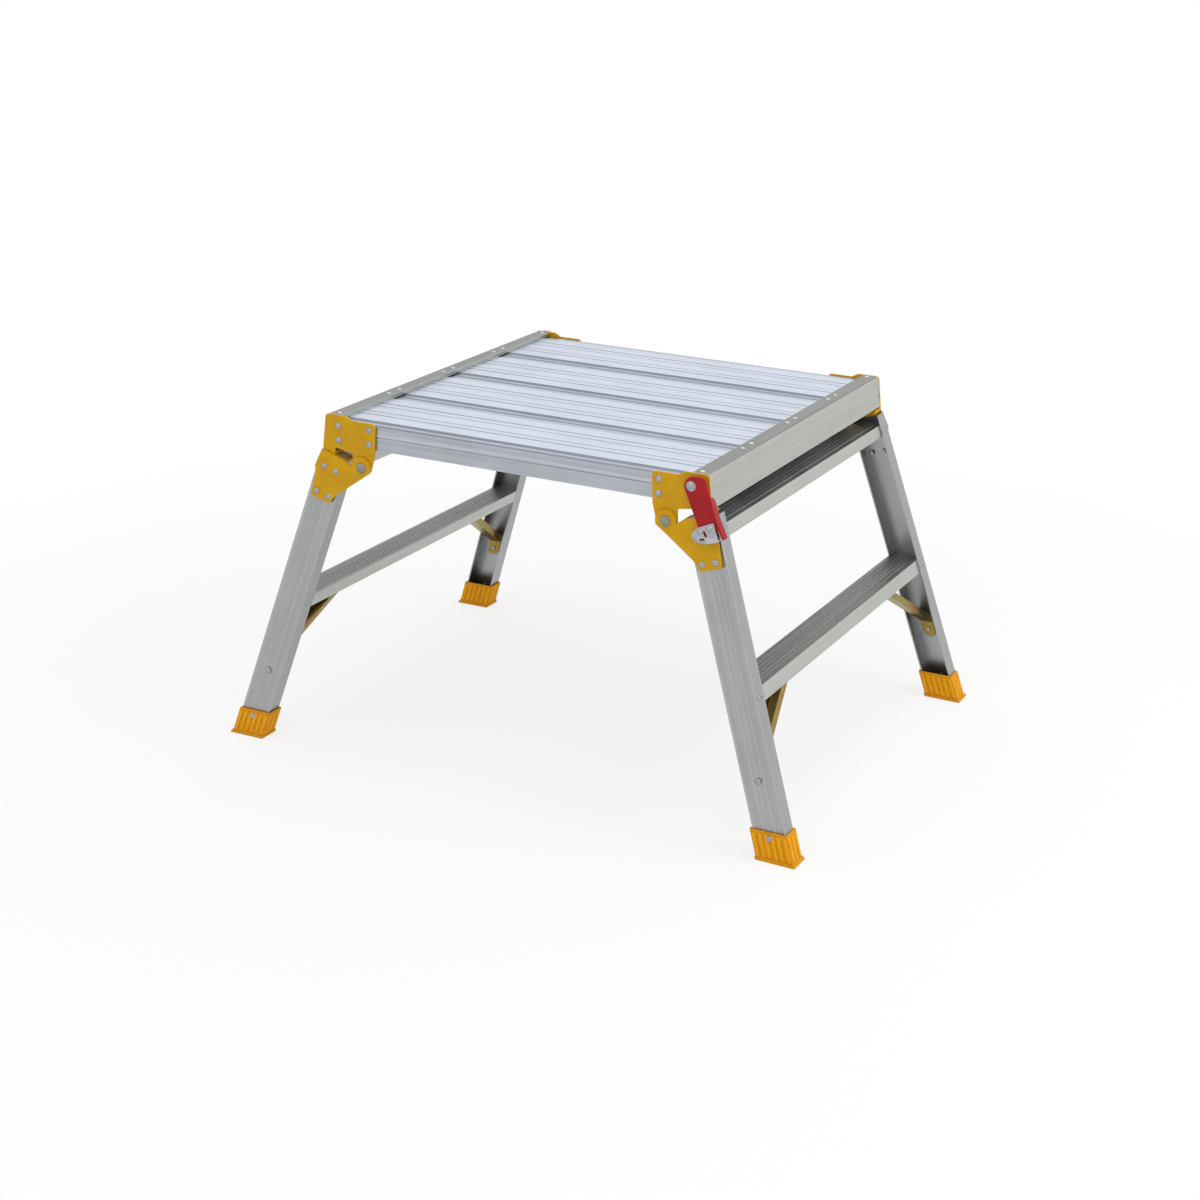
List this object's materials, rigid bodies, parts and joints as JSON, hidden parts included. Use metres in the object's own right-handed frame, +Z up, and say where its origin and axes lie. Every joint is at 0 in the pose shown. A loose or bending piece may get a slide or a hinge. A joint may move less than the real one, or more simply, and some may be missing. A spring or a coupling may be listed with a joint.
{
  "type": "folding work platform",
  "caption": "Low folding work platform: ribbed aluminium deck on two splayed folding leg frames, each with a step, diagonal braces, yellow hinge plates, rubber feet and a red latch.",
  "frame": {"origin": "on the floor under the middle of the deck", "axes": "+X along the front edge to the right, +Y into the depth, +Z up"},
  "size_m": [0.9232, 0.6924, 0.5114],
  "materials": {
    "deck_aluminium": "bright mill-finish extrusion, ribbed",
    "frame_aluminium": "satin mill-finish extrusion",
    "yellow_powder_coat": "semi-gloss powder coat",
    "red_paint": "semi-gloss powder coat",
    "yellow_zinc_steel": "yellow chromated zinc",
    "rivet_steel": "satin steel",
    "chrome": "bright nickel-chrome plate",
    "yellow_rubber": "matt moulded rubber, ribbed"
  },
  "bodies": {
    "platform": {"bracket_back_left": "yellow_powder_coat", "bracket_back_right": "yellow_powder_coat", "bracket_front_left": "yellow_powder_coat", "bracket_front_right": "yellow_powder_coat", "bracket_rivets": "rivet_steel", "deck_plank_1": "deck_aluminium", "deck_plank_2": "deck_aluminium", "deck_plank_3": "deck_aluminium", "deck_plank_4": "deck_aluminium", "end_rail_left": "frame_aluminium", "end_rail_right": "frame_aluminium", "hinge_pins": "rivet_steel", "latch_pin_left": "rivet_steel", "latch_pin_right": "rivet_steel", "rail_rivets": "rivet_steel"},
    "leg_frame_right": {"brace_back_right": "yellow_zinc_steel", "brace_front_right": "yellow_zinc_steel", "brace_rivets_right": "rivet_steel", "cross_rivets_right": "rivet_steel", "foot_back_right": "yellow_rubber", "foot_front_right": "yellow_rubber", "foot_screws_right": "rivet_steel", "latch_catch_right": "chrome", "leg_back_right": "frame_aluminium", "leg_front_right": "frame_aluminium", "leg_plate_back_right": "yellow_powder_coat", "leg_plate_front_right": "yellow_powder_coat", "leg_plate_rivets_right": "rivet_steel", "step_right": "frame_aluminium", "top_bar_right": "frame_aluminium"},
    "leg_frame_left": {"brace_back_left": "yellow_zinc_steel", "brace_front_left": "yellow_zinc_steel", "brace_rivets_left": "rivet_steel", "cross_rivets_left": "rivet_steel", "foot_back_left": "yellow_rubber", "foot_front_left": "yellow_rubber", "foot_screws_left": "rivet_steel", "latch_catch_left": "chrome", "leg_back_left": "frame_aluminium", "leg_front_left": "frame_aluminium", "leg_plate_back_left": "yellow_powder_coat", "leg_plate_front_left": "yellow_powder_coat", "leg_plate_rivets_left": "rivet_steel", "step_left": "frame_aluminium", "top_bar_left": "frame_aluminium"},
    "latch_right": {"latch_lever_right": "red_paint"},
    "latch_left": {"latch_lever_left": "red_paint"}
  },
  "joints": [
    {"name": "leg_fold_right", "type": "hinge", "parent": "platform", "child": "leg_frame_right", "pos_m": [0.24, 0, 0.439], "axis": [0, 1, 0], "range_deg": [0, 94]},
    {"name": "leg_fold_left", "type": "hinge", "parent": "platform", "child": "leg_frame_left", "pos_m": [-0.24, 0, 0.439], "axis": [0, -1, 0], "range_deg": [0, 112]},
    {"name": "latch_swing_right", "type": "hinge", "parent": "platform", "child": "latch_right", "pos_m": [0.279, -0.3135, 0.4947], "axis": [0, -1, 0], "range_deg": [0, 70]},
    {"name": "latch_swing_left", "type": "hinge", "parent": "platform", "child": "latch_left", "pos_m": [-0.279, 0.3135, 0.4947], "axis": [0, 1, 0], "range_deg": [0, 70]}
  ]
}
